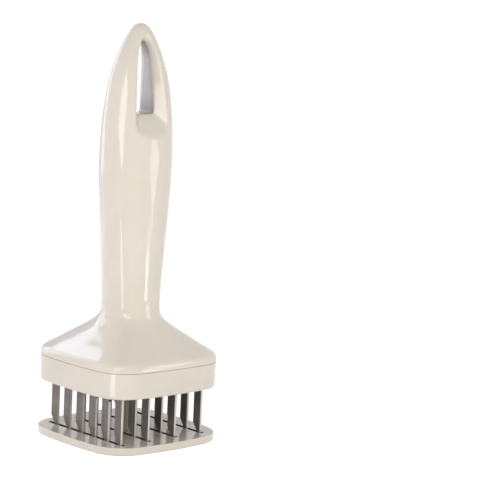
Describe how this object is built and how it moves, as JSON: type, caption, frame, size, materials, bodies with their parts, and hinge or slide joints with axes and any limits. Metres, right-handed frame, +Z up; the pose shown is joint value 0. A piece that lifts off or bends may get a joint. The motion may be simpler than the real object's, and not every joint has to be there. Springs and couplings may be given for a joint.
{
  "type": "blade meat tenderizer",
  "caption": "Hand-held blade meat tenderizer: an oval upright grip with a hanging slot, a square head with rows of flat pointed blades, and a sprung guard plate on a centre post.",
  "frame": {"origin": "centre of the guard plate's underside, which rests on the table", "axes": "+Z up the handle, away from the blades; the rows of blades run along X with their points on the +X side; the grip is wide along Y and thin along X, and its hanging slot goes through along X"},
  "size_m": [0.072, 0.072, 0.1984],
  "materials": {
    "cream_plastic": "glossy",
    "guard_plastic": "glossy",
    "post_plastic": "satin",
    "bush_plastic": "satin",
    "blade_steel": "ground",
    "zinc_steel": "zinc plated",
    "spring_steel": "drawn wire",
    "stop_rubber": "matte"
  },
  "bodies": {
    "handle": {"handle_shell": "cream_plastic", "skirt_frame": "cream_plastic", "blade_comb_1": "blade_steel", "blade_comb_2": "blade_steel", "blade_comb_3": "blade_steel", "blade_comb_4": "blade_steel", "comb_clamp_plate": "bush_plastic", "clamp_screws": "zinc_steel", "cross_rods": "zinc_steel", "comb_spacers": "bush_plastic", "rod_push_nuts": "zinc_steel", "frame_screws": "zinc_steel", "guide_bush": "bush_plastic", "stop_bumper": "stop_rubber", "spring_seat": "bush_plastic", "return_spring": "spring_steel"},
    "guard": {"guard_plate": "guard_plastic", "guide_post": "post_plastic", "post_screw": "zinc_steel", "stop_washer": "zinc_steel", "stop_screw": "zinc_steel"}
  },
  "joints": [
    {"name": "guard_slide", "type": "slide", "parent": "handle", "child": "guard", "axis": [0, 0, 1], "range_m": [0, 0.0215], "stiffness_N_per_m": 400, "springref_m": -0.015, "deforming": ["return_spring"]}
  ]
}
